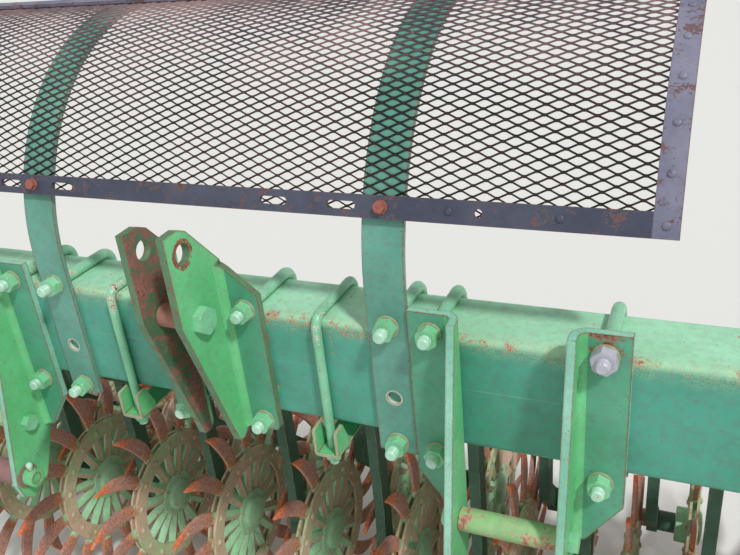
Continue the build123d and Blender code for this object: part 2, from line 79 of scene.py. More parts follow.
STAND_X = 830.0
STAND_Y = -36.7
LEG_HALF = 22.2
FOOT_THICK = 10.0
SHIELD_RADIUS = 300.0
SHIELD_BEND_Z = 43.0
SHIELD_HALF = 563.0
SHIELD_START = 18.3
SHIELD_END = 88.0
SHIELD_BAR = 25.4
MESH_RADIUS = 304.72
SHIELD_BAR_TOP = 311.3
ARM_XS = [-866.1 + 88.9 * step for step in range(19)]
ARM_OFFSET = 66.0
ARM_HALF = 9.0
FRONT_XS = [177.8 * (number - 4) for number in range(9)]
REAR_XS = [177.8 * (number - 4.5) for number in range(10)]
WHEEL_RADIUS = 243.0
TIP_AHEAD = 38.0
TEETH = 16

# Places as Y and Z
MAST_HOLE = (-69, 110)
MAST_SPACER = (-62, 19)
CLEVIS_SPACER = (-45, -226)
HITCH_PIN = (-76, -307)
SHAFT = (165.0, -212.0)
FRONT_HUB = (231.0, -607.0)
REAR_HUB = (434.2, -607.0)
STRAP_HOLE_Z = -93.0

# The toolbar's front top edge, from which every place is measured
bar_low, bar_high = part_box("toolbar")
bar_front = bar_low.y
bar_top = bar_high.z


def spot(x, y, z):
    """A place in millimetres from the bar's front top edge, as metres in the frame."""
    return Vector((x * MM, bar_front + y * MM, bar_top + z * MM))


# ---- Shader nodes


def colour(red, green, blue):
    """A colour as it looks on a screen, 0 to 255, made linear for a shader."""
    shown = [value / 255 for value in (red, green, blue)]
    return [v / 12.92 if v <= 0.04045 else ((v + 0.055) / 1.055) ** 2.4 for v in shown] + [1.0]


def put(tree, socket, value):
    """Links an input to another node, or sets it; three numbers are a screen's colour."""
    if isinstance(value, bpy.types.NodeSocket):
        tree.links.new(value, socket)
    else:
        socket.default_value = colour(*value) if isinstance(value, tuple) else value


def add(tree, kind, inputs=None, **settings):
    """A node with its settings, and its inputs set or linked."""
    made = tree.nodes.new(kind)
    for name, value in settings.items():
        setattr(made, name, value)
    for key, value in (inputs or {}).items():
        put(tree, made.inputs[key], value)
    return made


def maths(operation, *values):
    """A math node; one at least of its values comes from another node."""
    tree = next(v for v in values if isinstance(v, bpy.types.NodeSocket)).id_data
    return add(tree, "ShaderNodeMath", dict(enumerate(values)), operation=operation).outputs[0]


def times(first, second):
    return maths("MULTIPLY", first, second)


def most(first, second):
    return maths("MAXIMUM", first, second)


def plus(base, value, share=1.0):
    """A base with a share of another value added."""
    return maths("MULTIPLY_ADD", value, share, base)


def apart(first, second):
    """How far two values are from each other."""
    return maths("ABSOLUTE", maths("SUBTRACT", first, second))


def between(value, low, high):
    """0 below low, 1 above high, smooth between."""
    inputs = {"Value": value, "From Min": low, "From Max": high}
    return add(value.id_data, "ShaderNodeMapRange", inputs,
               interpolation_type="SMOOTHSTEP").outputs["Result"]


def blend(factor, first, second):
    """The first colour at a factor of 0, the second at 1."""
    tree = factor.id_data
    made = add(tree, "ShaderNodeMix", data_type="RGBA")
    inputs = {socket.identifier: socket for socket in made.inputs}
    put(tree, inputs["Factor_Float"], factor)
    put(tree, inputs["A_Color"], first)
    put(tree, inputs["B_Color"], second)
    return next(s for s in made.outputs if s.identifier == "Result_Color")


def noise(place, scale, detail=4.0, rough=0.6, twist=0.0):
    inputs = {"Vector": place, "Scale": scale, "Detail": detail, "Roughness": rough,
              "Distortion": twist}
    return add(place.id_data, "ShaderNodeTexNoise", inputs).outputs["Fac"]


def split(place):
    """A place's X, Y and Z."""
    return add(place.id_data, "ShaderNodeSeparateXYZ", {0: place}).outputs


def distance_in(axes, names, place):
    """How far a point lies from a place, measured along two of its axes."""
    one, two = [maths("SUBTRACT", axes[name], at) for name, at in zip(names, place)]
    return maths("SQRT", maths("MULTIPLY_ADD", one, one, times(two, two)))


# ---- Wear and rust, shared by all the materials


def group(name, inputs, outputs):
    """An empty shader group with its named sockets, and the sockets of its two ends."""
    tree = bpy.data.node_groups.new(name, "ShaderNodeTree")
    for way, sockets in (("INPUT", inputs), ("OUTPUT", outputs)):
        for label, kind in sockets.items():
            tree.interface.new_socket(label, in_out=way, socket_type="NodeSocket" + kind)
    return tree, tree.nodes.new("NodeGroupInput").outputs, tree.nodes.new("NodeGroupOutput").inputs


def edge_wear_group():
    """How near a surface point is to a sharp edge of its piece, 0 to 1."""
    tree, given, end = group("edge_wear", {"Radius": "Float"}, {"Edge": "Float"})
    rounded = add(tree, "ShaderNodeBevel", {"Radius": given["Radius"]}, samples=4)
    flat = add(tree, "ShaderNodeNewGeometry").outputs["Normal"]
    dot = add(tree, "ShaderNodeVectorMath", {0: rounded.outputs[0], 1: flat},
              operation="DOT_PRODUCT").outputs["Value"]
    missing = maths("SUBTRACT", 1.0, dot)
    put(tree, end["Edge"], between(missing, 0.01, 0.17))
    return tree


def weathering_group():
    """Old paint that has faded, chipped to primer and rusted, most along its edges."""
    inputs = {"Vector": "Vector"}
    inputs.update(dict.fromkeys(("Paint", "Faded", "Primer", "Rust", "Dark Rust"), "Color"))
    inputs.update(dict.fromkeys(("Wear", "Edge", "Patches", "Gloss"), "Float"))
    outputs = {"Color": "Color", "Roughness": "Float", "Height": "Float"}
    tree, given, end = group("weathering", inputs, outputs)
    place = given["Vector"]
    # Paint that has faded in clouds, with grime over it
    fade = between(noise(place, 6.5, 5.0), 0.36, 0.66)
    paint = blend(fade, given["Paint"], given["Faded"])
    grime = between(noise(place, 85.0, 6.0, 0.7), 0.3, 0.62)
    dull = add(tree, "ShaderNodeHueSaturation", {"Saturation": 0.86, "Value": 0.82,
                                                 "Color": paint}).outputs["Color"]
    paint = blend(grime, dull, paint)
    # What drives the damage: large patches, small specks, edges and the wear asked for
    patch = noise(place, given["Patches"], 9.0, 0.68, 0.3)
    speck = noise(place, times(given["Patches"], 7.0), 5.0, 0.6)
    drive = plus(times(speck, 0.34), patch, 0.66)
    drive = plus(drive, given["Edge"], 0.20)
    drive = plus(drive, given["Wear"])
    chipped = between(drive, 0.605, 0.635)
    rusted = between(drive, 0.645, 0.69)
    # Primer, flecks and rust in two tones over the paint
    tone = between(noise(place, 240.0, 5.0, 0.7), 0.36, 0.64)
    rust = blend(tone, given["Dark Rust"], given["Rust"])
    skin = blend(chipped, paint, given["Primer"])
    fleck = between(noise(place, 330.0, 3.0, 0.55), 0.665, 0.70)
    skin = blend(times(fleck, 0.75), skin, given["Dark Rust"])
    put(tree, end["Color"], blend(rusted, skin, rust))
    shine = plus(plus(0.08, given["Gloss"]), grime, -0.10)
    put(tree, end["Roughness"], most(shine, times(chipped, 0.86)))
    grain = noise(place, 520.0, 4.0, 0.7)
    height = plus(0.5, chipped, -0.55)
    height = plus(height, times(grain, rusted), 1.1)
    height = plus(height, noise(place, 130.0, 3.0), 0.12)
    put(tree, end["Height"], height)
    return tree


edge_wear = edge_wear_group()
weathering = weathering_group()

PRIMER = (172, 172, 118)
RUST = (176, 98, 66)
DARK_RUST = (96, 58, 44)
PINK_RUST = (172, 118, 100)


def start_material(name):
    """A new material, and the place in Object coordinates."""
    made = bpy.data.materials.new(name)
    made.use_nodes = True
    return made, add(made.node_tree, "ShaderNodeTexCoord").outputs["Object"]


def weathered(made, place, paint, faded, wear, edge, patches=30.0, gloss=0.45,
              rust=RUST, dark=DARK_RUST, primer=PRIMER, bump=0.00035):
    """Leads the weathering group into a material's shader."""
    tree = made.node_tree
    shader = tree.nodes["Principled BSDF"]
    values = {"Vector": place, "Paint": paint, "Faded": faded, "Primer": primer, "Rust": rust,
              "Dark Rust": dark, "Wear": wear, "Edge": edge, "Patches": patches, "Gloss": gloss}
    result = add(tree, "ShaderNodeGroup", values, node_tree=weathering).outputs
    raised = add(tree, "ShaderNodeBump", {"Height": result["Height"], "Distance": bump,
                                          "Strength": 0.8})
    put(tree, shader.inputs["Base Color"], result["Color"])
    put(tree, shader.inputs["Roughness"], result["Roughness"])
    put(tree, shader.inputs["Normal"], raised.outputs["Normal"])
    return made


def near_edges(made, radius, strength):
    """A material's edge wear, of one radius and strength."""
    wear = add(made.node_tree, "ShaderNodeGroup", {"Radius": radius}, node_tree=edge_wear)
    return times(wear.outputs["Edge"], strength)


# ---- Materials


def painted_steel(name, paint, faded, wear, edge_radius, edge_strength, **more):
    """Painted steel plate or bar, worn along its edges."""
    made, place = start_material(name)
    edge = near_edges(made, edge_radius, edge_strength)
    return weathered(made, place, paint, faded, wear, edge, **more)


def bare_rust(name, light, dark):
    """Bare steel under old rust."""
    made, place = start_material(name)
    return weathered(made, place, light, light, 0.04, near_edges(made, 0.002, 0.3), patches=60.0,
                     gloss=0.7, rust=light, dark=dark, primer=light, bump=0.0006)


def toolbar_paint():
    """The bar's paint: paler above, a painted top light with some fading, chipped along its front
    top edge, and a weld line.
    """
    made, place = start_material("toolbar_paint")
    axes = split(place)
    down = maths("SUBTRACT", bar_top, axes["Z"])
    inset = BAR_CORNER * MM / 2
    away = distance_in(axes, "YZ", (bar_front + inset, bar_top - inset))
    ragged = plus(away, noise(place, 18.0, 3.0), 0.030)
    corner = between(ragged, 0.040, 0.014)
    upper = between(down, 0.004, -0.001)
    edge = most(times(corner, 0.86), times(upper, 0.36))
    # Lines of rust beside the brackets
    for x in (97.5, -72.0, 185.5, 490.0):
        line = between(apart(axes["X"], x * MM), 0.004, 0.001)
        edge = most(edge, times(line, 0.65))
    # The top face is painted much paler than the front: a painted top light for the light falling
    # on it from above, with some fading of the paint too.
    top_light_and_fading = between(down, 0.010, -0.001)
    paint = blend(top_light_and_fading, (66, 152, 128), (150, 214, 172))
    faded = blend(top_light_and_fading, (78, 168, 146), (168, 230, 192))
    on_weld = between(apart(down, 0.068), 0.0013, 0.0003)
    paint = blend(times(on_weld, 0.35), paint, (150, 204, 178))
    worn = between(noise(place, 460.0, 5.0, 0.75), 0.42, 0.62)
    worn = times(worn, times(corner, 0.72))
    paint = blend(worn, paint, (178, 192, 142))
    faded = blend(worn, faded, (190, 198, 150))
    return weathered(made, place, paint, faded, -0.075, edge, patches=44.0, gloss=0.42,
                     rust=(190, 112, 96), dark=(140, 84, 72), primer=(186, 160, 128))


def strap_paint():
    """The straps' faded paint, with a bare bright rim round their empty holes."""
    made, place = start_material("strap_paint")
    axes = split(place)
    paint, faded, bare = (84, 148, 130), (104, 168, 150), (214, 220, 206)
    for x in STRAP_XS:
        away = distance_in(axes, "XZ", (x * MM, bar_top + STRAP_HOLE_Z * MM))
        rim = between(apart(away, 0.0098), 0.0016, 0.0006)
        paint = blend(rim, paint, bare)
        faded = blend(rim, faded, bare)
    return weathered(made, place, paint, faded, -0.022, near_edges(made, 0.0040, 1.5),
                     patches=34.0, gloss=0.4, primer=(130, 150, 124), rust=(168, 100, 82))


def flange_paint():
    """The brackets' front faces, with a rust stain round the one bare nut."""
    made, place = start_material("flange_paint")
    axes = split(place)
    nut_z = bar_top + (ROD_RADIUS + SEAT_GAP) * MM
    away = distance_in(axes, "XZ", (ZINC_ROD_X * MM, nut_z))
    ragged = plus(away, noise(place, 70.0, 4.0), 0.024)
    stain = between(ragged, 0.046, 0.024)
    right_end = between(axes["X"], (ZINC_ROD_X - 45) * MM, (ZINC_ROD_X - 35) * MM)
    top_band = between(axes["Z"], bar_top + 18 * MM, bar_top + 33 * MM)
    stain = most(stain, times(right_end, top_band))
    edge = most(near_edges(made, 0.0050, 1.6), stain)
    # The front faces are painted a darker teal than the side faces: a painted shade for the
    # flanges turned away from the light.
    return weathered(made, place, (72, 154, 120), (92, 172, 140), -0.062, edge, patches=40.0,
                     gloss=0.4, rust=(164, 98, 80), primer=(140, 132, 104))


def web_paint():
    """The brackets' side faces, with rust round the mast's pin holes."""
    made, place = start_material("bracket_paint")
    hole = spot(0, *MAST_HOLE)
    away = distance_in(split(place), "YZ", (hole.y, hole.z))
    ragged = plus(away, noise(place, 120.0, 3.0), 0.006)
    rim = times(between(ragged, 0.0245, 0.0205), 1.3)
    edge = most(near_edges(made, 0.0050, 1.6), rim)
    # The side faces are painted a brighter green than the front faces: painted light for the webs
    # turned to the light.
    return weathered(made, place, (94, 190, 122), (114, 206, 142), -0.066, edge, patches=38.0,
                     gloss=0.38, rust=(164, 92, 74), dark=(112, 66, 52), primer=(134, 128, 92))


def hoop_paint():
    """The rods' paint, worn white where they bend over the bar's front edge, partly a painted
    highlight on the bend.
    """
    made, place = start_material("hoop_paint")
    away = distance_in(split(place), "YZ", (bar_front, bar_top))
    # The whitening at the bend is partly real wear and partly a painted highlight where the
    # rounded bend catches the light.
    bend = times(between(away, 0.060, 0.016), 0.62)
    return weathered(made, place, (112, 186, 142), (150, 212, 176), -0.035, bend, patches=80.0,
                     gloss=0.34, primer=(216, 218, 200), rust=(184, 124, 106))


def mesh_rust():
    """The mesh: near black, purple grey where it turns level, a painted top light on the level
    strands with some bleaching.
    """
    made, place = start_material("mesh_rust")
    # Where the mesh turns level it is painted paler: a painted top light on the upward-facing
    # strands, with some bleaching.
    level_light_and_bleach = between(split(place)["Z"], bar_top + 0.24, bar_top + 0.335)
    light = blend(level_light_and_bleach, (74, 54, 50), (150, 122, 122))
    dark = blend(level_light_and_bleach, (38, 32, 34), (84, 70, 78))
    return weathered(made, place, dark, light, 0.02, 0.0, patches=36.0, gloss=0.6,
                     rust=(124, 78, 62), dark=dark, primer=light, bump=0.0003)


def shield_bar_paint():
    """The shield's bars: darker in front as painted shade, purple grey at the sides and rear as
    painted light.
    """
    made, place = start_material("shield_bar_paint")
    axes = split(place)
    # The end bars and the rear bar are painted paler than the front bar, and the front bar darker:
    # painted light and painted shade. The paler bars also take a little more rust.
    off_middle = apart(axes["X"], TOP_X * MM)
    inner = SHIELD_HALF - SHIELD_BAR
    side = between(off_middle, (inner - 1) * MM, (inner + 1) * MM)
    rear = between(axes["Y"], bar_front + 0.20, bar_front + 0.26)
    side = most(side, rear)
    paint = blend(side, (56, 62, 82), (104, 106, 130))
    faded = blend(side, (76, 80, 98), (136, 134, 156))
    rust = blend(side, (132, 74, 60), (158, 96, 84))
    return weathered(made, place, paint, faded, plus(0.045, side, 0.020),
                     near_edges(made, 0.002, 0.7), patches=42.0, gloss=0.5, rust=rust,
                     dark=(84, 54, 52), primer=(106, 84, 86))


# A wheel's spokes, one flank of each spoke painted tan as a painted shade, and its ring: paint,
# faded paint and wear
WHEEL_PARTS = {"star": ((146, 200, 150), (174, 220, 178), 0.16),
               "shaded_flank": ((204, 170, 148), (176, 172, 130), 0.34),
               "ring": ((206, 172, 148), (168, 196, 144), 0.42)}


def wheel_iron(name, hub, part):
    """A wheel's iron: green by the hub, its teeth rusty and bright at the tips."""
    made, place = start_material(name)
    centre = spot(0, *hub)
    out = distance_in(split(place), "YZ", (centre.y, centre.z))
    tips = between(out, 0.196, 0.238)
    teeth = between(out, 0.128, 0.146)
    middle = between(out, 0.150, 0.172)
    light = blend(middle, (206, 140, 108), (192, 142, 126))
    light = blend(tips, light, (232, 130, 82))
    dark = blend(middle, (152, 100, 78), (150, 108, 96))
    dark = blend(tips, dark, (188, 100, 64))
    paint, faded, wear = WHEEL_PARTS[part]
    edge = plus(plus(wear, teeth, 1.25), near_edges(made, 0.003, 0.35))
    return weathered(made, place, paint, faded, -0.03, edge, patches=48.0, gloss=0.55,
                     rust=light, dark=dark, primer=(186, 168, 132), bump=0.0006)


# Plain paints: paint, faded paint, wear, the radius and strength of the wear along edges
PAINTS = {
    # bracket_edge: the clevis plates' cut edges in pale mint, partly worn paint and partly a
    # painted highlight where the edges catch the light.
    "bracket_edge": ((124, 194, 166), (154, 214, 190), -0.005, 0.0034, 1.2, {
        "patches": 90.0, "rust": (160, 108, 88), "primer": (148, 138, 112)}),
    "mast_edge": ((80, 124, 88), (96, 140, 100), 0.06, 0.002, 0.6, {
        "patches": 60.0, "rust": (150, 92, 76), "dark": (92, 60, 48), "primer": (124, 104, 80)}),
    "rusted_plate": ((70, 112, 82), (88, 118, 84), 0.145, 0.002, 0.4, {
        "patches": 15.0, "rust": (168, 110, 96), "dark": (118, 74, 68), "primer": (136, 94, 82)}),
    "worn_paint": ((138, 190, 124), (166, 206, 148), 0.108, 0.002, 0.2, {
        "patches": 36.0, "rust": (202, 142, 126), "dark": (160, 100, 88),
        "primer": (176, 186, 136)}),
    "bolt_paint": ((116, 196, 144), (148, 216, 172), -0.07, 0.0012, 0.5, {
        "patches": 80.0, "gloss": 0.36, "primer": (186, 226, 196)}),
    # stud_end: the rods' ends painted paler than the nuts, partly their own worn paint and partly
    # a painted highlight on ends that face the light.
    "stud_end": ((168, 218, 190), (190, 230, 206), -0.05, 0.001, 0.4, {
        "patches": 90.0, "gloss": 0.36}),
    "washer_rust": ((160, 160, 128), (150, 176, 140), 0.03, 0.0012, 0.4, {
        "patches": 90.0, "rust": PINK_RUST}),
    # arm_paint is darkened as a painted shade: the arms stand in the shade under the bar.
    "arm_paint": ((52, 90, 68), (72, 112, 88), -0.02, 0.003, 0.6, {
        "patches": 34.0, "gloss": 0.6}),
    "spring_steel": ((62, 64, 66), (82, 80, 80), 0.0, 0.002, 0.2, {"patches": 60.0}),
    "stand_paint": ((82, 164, 120), (102, 182, 138), -0.035, 0.004, 1.2, {
        "patches": 34.0, "rust": (164, 98, 80), "primer": (144, 140, 106)}),
    "bare_zinc": ((168, 168, 184), (194, 194, 206), -0.04, 0.001, 0.3, {
        "patches": 80.0, "gloss": 0.35}),
}
BARE = {"bolt_rust": ((160, 88, 74), (104, 56, 50)), "rusty_steel": (PINK_RUST, (96, 66, 60)),
        "sleeve_rust": ((146, 108, 106), (94, 66, 68))}

finishes = {
    "toolbar_paint": toolbar_paint(),
    "bracket_paint": web_paint(),
    "flange_paint": flange_paint(),
    "strap_paint": strap_paint(),
    "hoop_paint": hoop_paint(),
    "shield_bar_paint": shield_bar_paint(),
    "mesh_rust": mesh_rust(),
    "wheel_paint": wheel_iron("wheel_front", FRONT_HUB, "star"),
    "wheel_rear": wheel_iron("wheel_rear", REAR_HUB, "star"),
}
for label, values in PAINTS.items():
    finishes[label] = painted_steel(label, *values[:-1], **values[-1])
for label, values in BARE.items():
    finishes[label] = bare_rust(label, *values)
for part in ("shaded_flank", "ring"):
    for row, hub in (("front", FRONT_HUB), ("rear", REAR_HUB)):
        finishes[f"{part}_{row}"] = wheel_iron(f"{part}_{row}", hub, part)

# ---- The CAD's own pieces that stay


def dress_frame():
    for item in frame["record"]["subparts"]:
        cad = frame["nodes"][item["node"]]
        cad.data.materials.clear()
        cad.data.materials.append(finishes[item["material_slot"]])


dress_frame()

# ---- Making new pieces


def normals_out(work):
    bmesh.ops.recalc_face_normals(work, faces=work.faces[:])


def whole(work):
    return work.verts[:] + work.edges[:] + work.faces[:]


def new_verts(made, key="geom"):
    """The corners among what a bmesh operator made."""
    return [v for v in made[key] if isinstance(v, bmesh.types.BMVert)]


def merge(work, distance=1e-6):
    bmesh.ops.remove_doubles(work, verts=work.verts[:], dist=distance)


def rotate(work, turn, axis):
    """Turns a bmesh about an axis through the origin."""
    bmesh.ops.rotate(work, cent=(0, 0, 0), matrix=Matrix.Rotation(turn, 3, axis),
                     verts=work.verts[:])


def circle(work, place, direction, radius, segments, filled=False):
    """The corners of a ring round a direction, at a place."""
    verts = bmesh.ops.create_circle(work, cap_ends=filled, segments=segments,
                                    radius=radius * MM)["verts"]
    bmesh.ops.transform(work, matrix=aim(place, direction), verts=verts)
    return verts


def piece(name, work, body, slot, looks=None, stands_for=(), smooth=True):
    """Turns a bmesh into a piece that rides on a body of the machine."""
    mesh = bpy.data.meshes.new(name)
    work.to_mesh(mesh)
    work.free()
    for look in looks or [slot]:
        mesh.materials.append(finishes[look])
    if smooth:
        mesh.shade_smooth()
        mesh.set_sharp_from_angle(angle=radians(38))
    made = bpy.data.objects.new(name, mesh)
    scene.collection.objects.link(made)
    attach(made, body)
    if stands_for:
        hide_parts(*stands_for)


def aim(place, direction):
    """Turns local +Z to a direction and moves to a place."""
    turn = Vector((0, 0, 1)).rotation_difference(Vector(direction)).to_matrix().to_4x4()
    return Matrix.Translation(place) @ turn


def turned(profile, place, direction, steps=24):
    """Spins a profile of (height, radius) in millimetres round an axis."""
    work = bmesh.new()
    verts = [work.verts.new((radius * MM, 0, height * MM)) for height, radius in profile]
    edges = [work.edges.new(two) for two in zip(verts, verts[1:])]
    bmesh.ops.spin(work, geom=verts + edges, cent=(0, 0, 0), axis=(0, 0, 1), angle=2 * pi,
                   steps=steps, use_merge=True)
    merge(work)
    normals_out(work)
    bmesh.ops.transform(work, matrix=aim(place, direction), verts=work.verts[:])
    return work


def join(work, other, index=None):
    """Adds one bmesh to another, with its faces' material if one is given."""
    if index is not None:
        for face in other.faces:
            face.material_index = index
    holder = bpy.data.meshes.new("holder")
    other.to_mesh(holder)
    other.free()
    work.from_mesh(holder)
    bpy.data.meshes.remove(holder)


def bevel_edges(work, edges, size):
    bmesh.ops.bevel(work, geom=edges, offset=size * MM, affect="EDGES", segments=1,
                    profile=0.5, material=-1, clamp_overlap=True)


def sharp_edges(work, angle):
    return [e for e in work.edges if len(e.link_faces) == 2
            and e.calc_face_angle(0) > radians(angle)]


def hexagon(place, direction, across, height, corner=1.6, turn=0.0):
    """A hexagon head or nut with its outer corners chamfered."""
    work = bmesh.new()
    bmesh.ops.create_circle(work, cap_ends=True, segments=6, radius=across / sqrt(3) * MM)
    top = new_verts(bmesh.ops.extrude_face_region(work, geom=work.faces[:]))
    bmesh.ops.translate(work, vec=(0, 0, height * MM), verts=top)
    bmesh.ops.bevel(work, geom=top, offset=corner * MM, affect="VERTICES", segments=1,
                    profile=0.5, material=-1)
    normals_out(work)
    rotate(work, turn, "Z")
    bmesh.ops.transform(work, matrix=aim(place, direction), verts=work.verts[:])
    return work


def washer(place, direction, radius, thick):
    rim = 0.5
    profile = [(0, 0), (0, radius), (thick - rim, radius), (thick, radius - rim), (thick, 0)]
    return turned(profile, place, direction, 28)


def thread(place, direction, radius, length):
    """A threaded rod's end with a chamfered tip."""
    pitch = 2.3
    profile = [(0, radius)]
    along = pitch
    while along < length - pitch:
        profile += [(along - pitch / 2, radius * 0.92), (along, radius)]
        along += pitch
    profile += [(length - 1.6, radius * 0.95), (length, radius * 0.74), (length, 0)]
    return turned(profile, place, direction, 16)


def fastener(work, place, direction, rod, across, nut_height, length, turn, plain=False):
    """A washer, a nut and the rod's end, standing on a face at a place."""
    step = Vector(direction)
    thick = rod * 0.28
    join(work, washer(place, direction, rod * 1.9, thick), 1)
    join(work, hexagon(place + step * thick * MM, direction, across, nut_height, turn=turn), 0)
    start = thick + nut_height - 1.0
    if not plain and length > start + 2:
        join(work, thread(place + step * start * MM, direction, rod, length - start), 2)


# ---- The brackets' bent plates, with their cut edges


def plate_part(face, middle, half_gap, inner_side):
    """Which finish a plate's face takes: 0 web, 1 flange, 2 cut edge, 3 rusted inside."""
    normal, centre = face.normal, face.calc_center_median()
    along = abs(centre.x / MM - middle)
    depth = (centre.y - bar_front) / MM
    if abs(normal.x) > 0.99:
        on_web = abs(along - half_gap) < 0.1 or abs(along - half_gap - PLATE) < 0.1
        inside = inner_side and centre.x / MM < middle and normal.x > 0
        return 3 if on_web and inside else 0 if on_web else 2
    if abs(normal.z) > 0.02:
        return 2
    if abs(normal.y) > 0.99 and (abs(depth) < 0.1 or abs(depth + PLATE) < 0.1):
        return 1
    in_bend = along < half_gap + 2 * PLATE and depth > -2 * PLATE - 0.1
    return 0 if in_bend and abs(normal.x) > 0.02 else 2


def bracket_plates(node, middle, half_gap, edge_look, inner_side=False):
    """A copy of a bracket's two plates, with webs, flanges and cut edges each finished."""
    work = bmesh.new()
    work.from_mesh(frame["nodes"][node].data)
    work.transform(frame["nodes"][node].matrix_world)
    merge(work, 1e-5)
    bmesh.ops.dissolve_limit(work, angle_limit=radians(1), verts=work.verts[:],
                             edges=work.edges[:])
    normals_out(work)
    for face in work.faces:
        face.material_index = plate_part(face, middle, half_gap, inner_side)
    bmesh.ops.triangulate(work, faces=[f for f in work.faces if len(f.verts) > 4])
    piece(f"{node}_dressed", work, "frame", "bracket_paint",
          ["bracket_paint", "flange_paint", edge_look, "rusted_plate"], stands_for=[node])


bracket_plates("mast_plates", TOP_X, MAST_HALF_GAP, "mast_edge", inner_side=True)
bracket_plates("left_clevis_plates", -CLEVIS_X, CLEVIS_HALF_GAP, "bracket_edge")
bracket_plates("right_clevis_plates", CLEVIS_X, CLEVIS_HALF_GAP, "bracket_edge")


def extruded(outline, depth):
    """A closed outline of places, thickened along its normal, its edges eased."""
    work = bmesh.new()
    face = work.faces.new([work.verts.new(place) for place in outline])
    moved = new_verts(bmesh.ops.extrude_face_region(work, geom=[face]))
    bmesh.ops.translate(work, vec=depth, verts=moved)
    normals_out(work)
    bevel_edges(work, sharp_edges(work, 50), 0.8)
    return work


def saddles():
    """Thin channels under the carrier, with pointed ears beside the hoops' legs."""
    work = bmesh.new()
    half, thick, low, reach = 18.0, 6.0, SADDLE_BOTTOM, 25.0
    ear_thick, corner = 5, 5
    section = [(-half, low + thick)]
    for turn in range(5):
        angle = pi / 2 * turn / 4
        section.append((-half + corner - corner * cos(angle), low + corner - corner * sin(angle)))
    section += [(-x, z) for x, z in reversed(section)]
    base = [spot(x, -reach, z) for x, z in section]
    ear = [(-reach, low + 5.5), (-reach, -155), (-reach + 1.6, -151.8), (-23, -151), (-5, -150),
           (-3.4, -151.6), (9.6, -182), (8, low + 5.5)]
    for x in HOOP_XS:
        shift = Vector((x * MM, 0, 0))
        join(work, extruded([place + shift for place in base],
                            Vector((0, (BAR_DEPTH + 2 * reach) * MM, 0))), 0)
        for left in (-half, half - ear_thick):
            for mirrored in (False, True):
                places = [spot(x + left, BAR_DEPTH - y if mirrored else y, z) for y, z in ear]
                join(work, extruded(places, Vector((ear_thick * MM, 0, 0))), 0)
    narrow = 400 * MM * MM
    for face in work.faces:
        if face.calc_area() < narrow and abs(face.normal.x) < 0.9:
            face.material_index = 1
    piece("saddles", work, "frame", "bracket_paint", ["bracket_paint", "washer_rust"],
          stands_for=["hoop_saddles"])


saddles()

# ---- Rods that clamp the brackets round the bar


class BentRod:
    """A round rod drawn in the Y and Z plane by runs and bends."""

    def __init__(self, start, heading, radius, segments=14):
        self.work = bmesh.new()
        self.at = Vector(start)
        self.heading = Vector(heading)
        self.end = list(circle(self.work, self.at, heading, radius, segments, filled=True))

    def end_edges(self):
        ends = set(self.end)
        return list({e for v in self.end for e in v.link_edges if set(e.verts) <= ends})

    def run(self, length):
        self.end = new_verts(bmesh.ops.extrude_edge_only(self.work, edges=self.end_edges()))
        move = self.heading * length * MM
        bmesh.ops.translate(self.work, vec=move, verts=self.end)
        self.at = self.at + move
        return self

    def bend(self, radius, turn, steps=7):
        """Turns about X by an angle; a positive turn goes from +Y to +Z."""
        side = Vector((1, 0, 0)).cross(self.heading) * (1 if turn > 0 else -1)
        centre = self.at + side * radius * MM
        made = bmesh.ops.spin(self.work, geom=self.end + self.end_edges(), cent=centre,
                              axis=(1, 0, 0), angle=turn, steps=steps)
        self.end = new_verts(made, "geom_last")
        spin = Matrix.Rotation(turn, 3, "X")
        self.at = centre + spin @ (self.at - centre)
        self.heading = spin @ self.heading
        return self

    def close(self):
        bmesh.ops.contextual_create(self.work, geom=self.end_edges())
        normals_out(self.work)
        return self.work


def bracket_rods():
    """Ten U-bolts: over the bar, down its back and under it, with both nuts in front."""
    work = bmesh.new()
    high = ROD_RADIUS + SEAT_GAP
    bend = BAR_CORNER + high
    hidden = 12
    leg = BAR_DEPTH + ROD_FRONT + high - bend - hidden
    for x in CLEVIS_ROD_XS + STRAP_XS + MAST_ROD_XS + STAND_ROD_XS:
        rod = BentRod(spot(x, -ROD_FRONT + hidden, high), (0, 1, 0), ROD_RADIUS)
        rod.run(leg).bend(bend, -pi / 2).run(BAR_HEIGHT + 2 * high - 2 * bend)
        rod.bend(bend, -pi / 2).run(leg)
        join(work, rod.close())
    piece("bracket_rods", work, "frame", "bolt_paint", ["hoop_paint"],
          stands_for=["bracket_u_bolts"])


def bracket_nuts():
    """A washer, nut and threaded end on every leg of the U-bolts."""
    work = bmesh.new()
    seats = [(x, PLATE) for x in CLEVIS_ROD_XS + MAST_ROD_XS]
    seats += [(x, STRAP_THICK) for x in STRAP_XS] + [(x, SOCKET_PLATE) for x in STAND_ROD_XS]
    high = ROD_RADIUS + SEAT_GAP
    turn = 0.3
    for x, face in seats:
        for z in (high, -BAR_HEIGHT - high):
            turn += 0.37
            if x == ZINC_ROD_X and z > 0:
                continue
            fastener(work, spot(x, -face, z), (0, -1, 0), ROD_RADIUS, NUT_ACROSS, NUT_HEIGHT,
                     ROD_FRONT - face, turn)
    piece("bracket_nuts", work, "frame", "bolt_paint", ["bolt_paint", "washer_rust", "stud_end"])
    bare = bmesh.new()
    fastener(bare, spot(ZINC_ROD_X, -PLATE, high), (0, -1, 0), ROD_RADIUS, NUT_ACROSS + 2,
             NUT_HEIGHT, ROD_FRONT - PLATE, 0.2)
    piece("zinc_nut", bare, "frame", "rusty_steel", ["bare_zinc", "washer_rust", "bare_zinc"])


